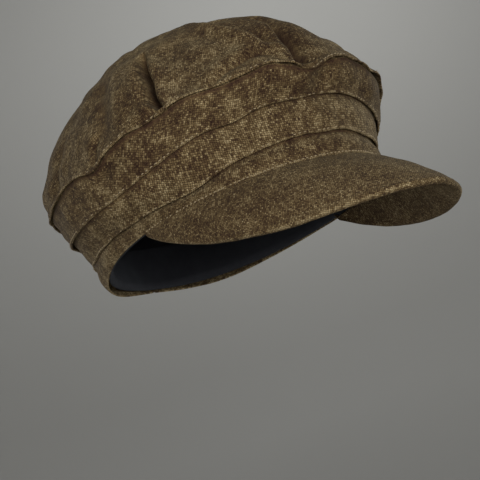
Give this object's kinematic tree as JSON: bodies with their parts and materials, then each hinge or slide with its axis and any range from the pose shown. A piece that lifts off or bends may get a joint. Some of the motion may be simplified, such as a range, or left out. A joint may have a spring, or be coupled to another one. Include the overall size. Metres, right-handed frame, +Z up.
{
  "type": "newsboy cap",
  "caption": "Soft newsboy cap in coarse brown tweed: a full gathered crown on lapped tiers, with a stiff drooping visor and a lined, banded head opening.",
  "frame": {"origin": "centre of the head opening, in the plane of its hem", "axes": "+Z up the crown from the head opening; the visor points to -Y; the wearer's right side is at -X"},
  "size_m": [0.213, 0.2868, 0.1833],
  "materials": {
    "tweed": "coarse plain-woven wool melange in brown, tan and khaki, matt",
    "bias_tweed": "the same wool cloth cut on the bias, matt",
    "board": "plain moulded sheet, hidden between the visor's covers",
    "buckram": "stiffened open weave, hidden",
    "rubber": "ribbed elastic tape, hidden",
    "dark_twill": "near-black cotton twill tape",
    "dark_lining": "near-black smooth lining cloth with a slight sheen"
  },
  "bodies": {
    "root": {"crown_top": "tweed", "upper_tier": "tweed", "middle_tier": "tweed", "headband": "tweed", "visor_top": "bias_tweed", "visor_board": "board", "visor_under": "bias_tweed", "band_stiffener": "buckram", "back_elastic": "rubber", "sweatband": "dark_twill", "lining_side": "dark_lining", "lining_tip": "dark_lining"}
  },
  "joints": []
}
